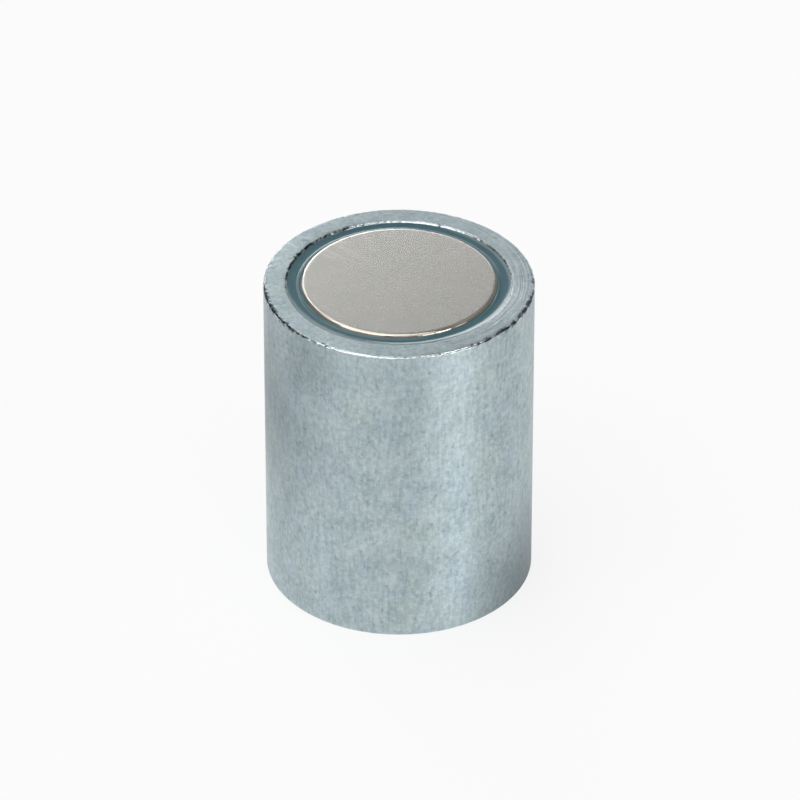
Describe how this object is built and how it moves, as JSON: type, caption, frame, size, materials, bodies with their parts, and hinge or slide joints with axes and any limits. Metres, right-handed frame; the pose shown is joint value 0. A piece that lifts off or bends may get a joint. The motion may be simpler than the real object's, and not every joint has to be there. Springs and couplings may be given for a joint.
{
  "type": "pot magnet",
  "caption": "Cylindrical pot magnet: a zinc-plated turned steel pot with a nickel-plated disc magnet potted in resin in one end and a tapped hole in the other.",
  "frame": {"origin": "centre of the back face, the plain end with the tapped hole", "axes": "+Z along the axis of the body, out of the magnet face"},
  "size_m": [0.02, 0.02, 0.025],
  "materials": {
    "zinc_plated_steel": "satin",
    "nickel_plated_magnet": "satin",
    "epoxy_resin": "gloss"
  },
  "bodies": {
    "root": {"housing": "zinc_plated_steel", "magnet": "nickel_plated_magnet", "potting_resin": "epoxy_resin"}
  },
  "joints": []
}
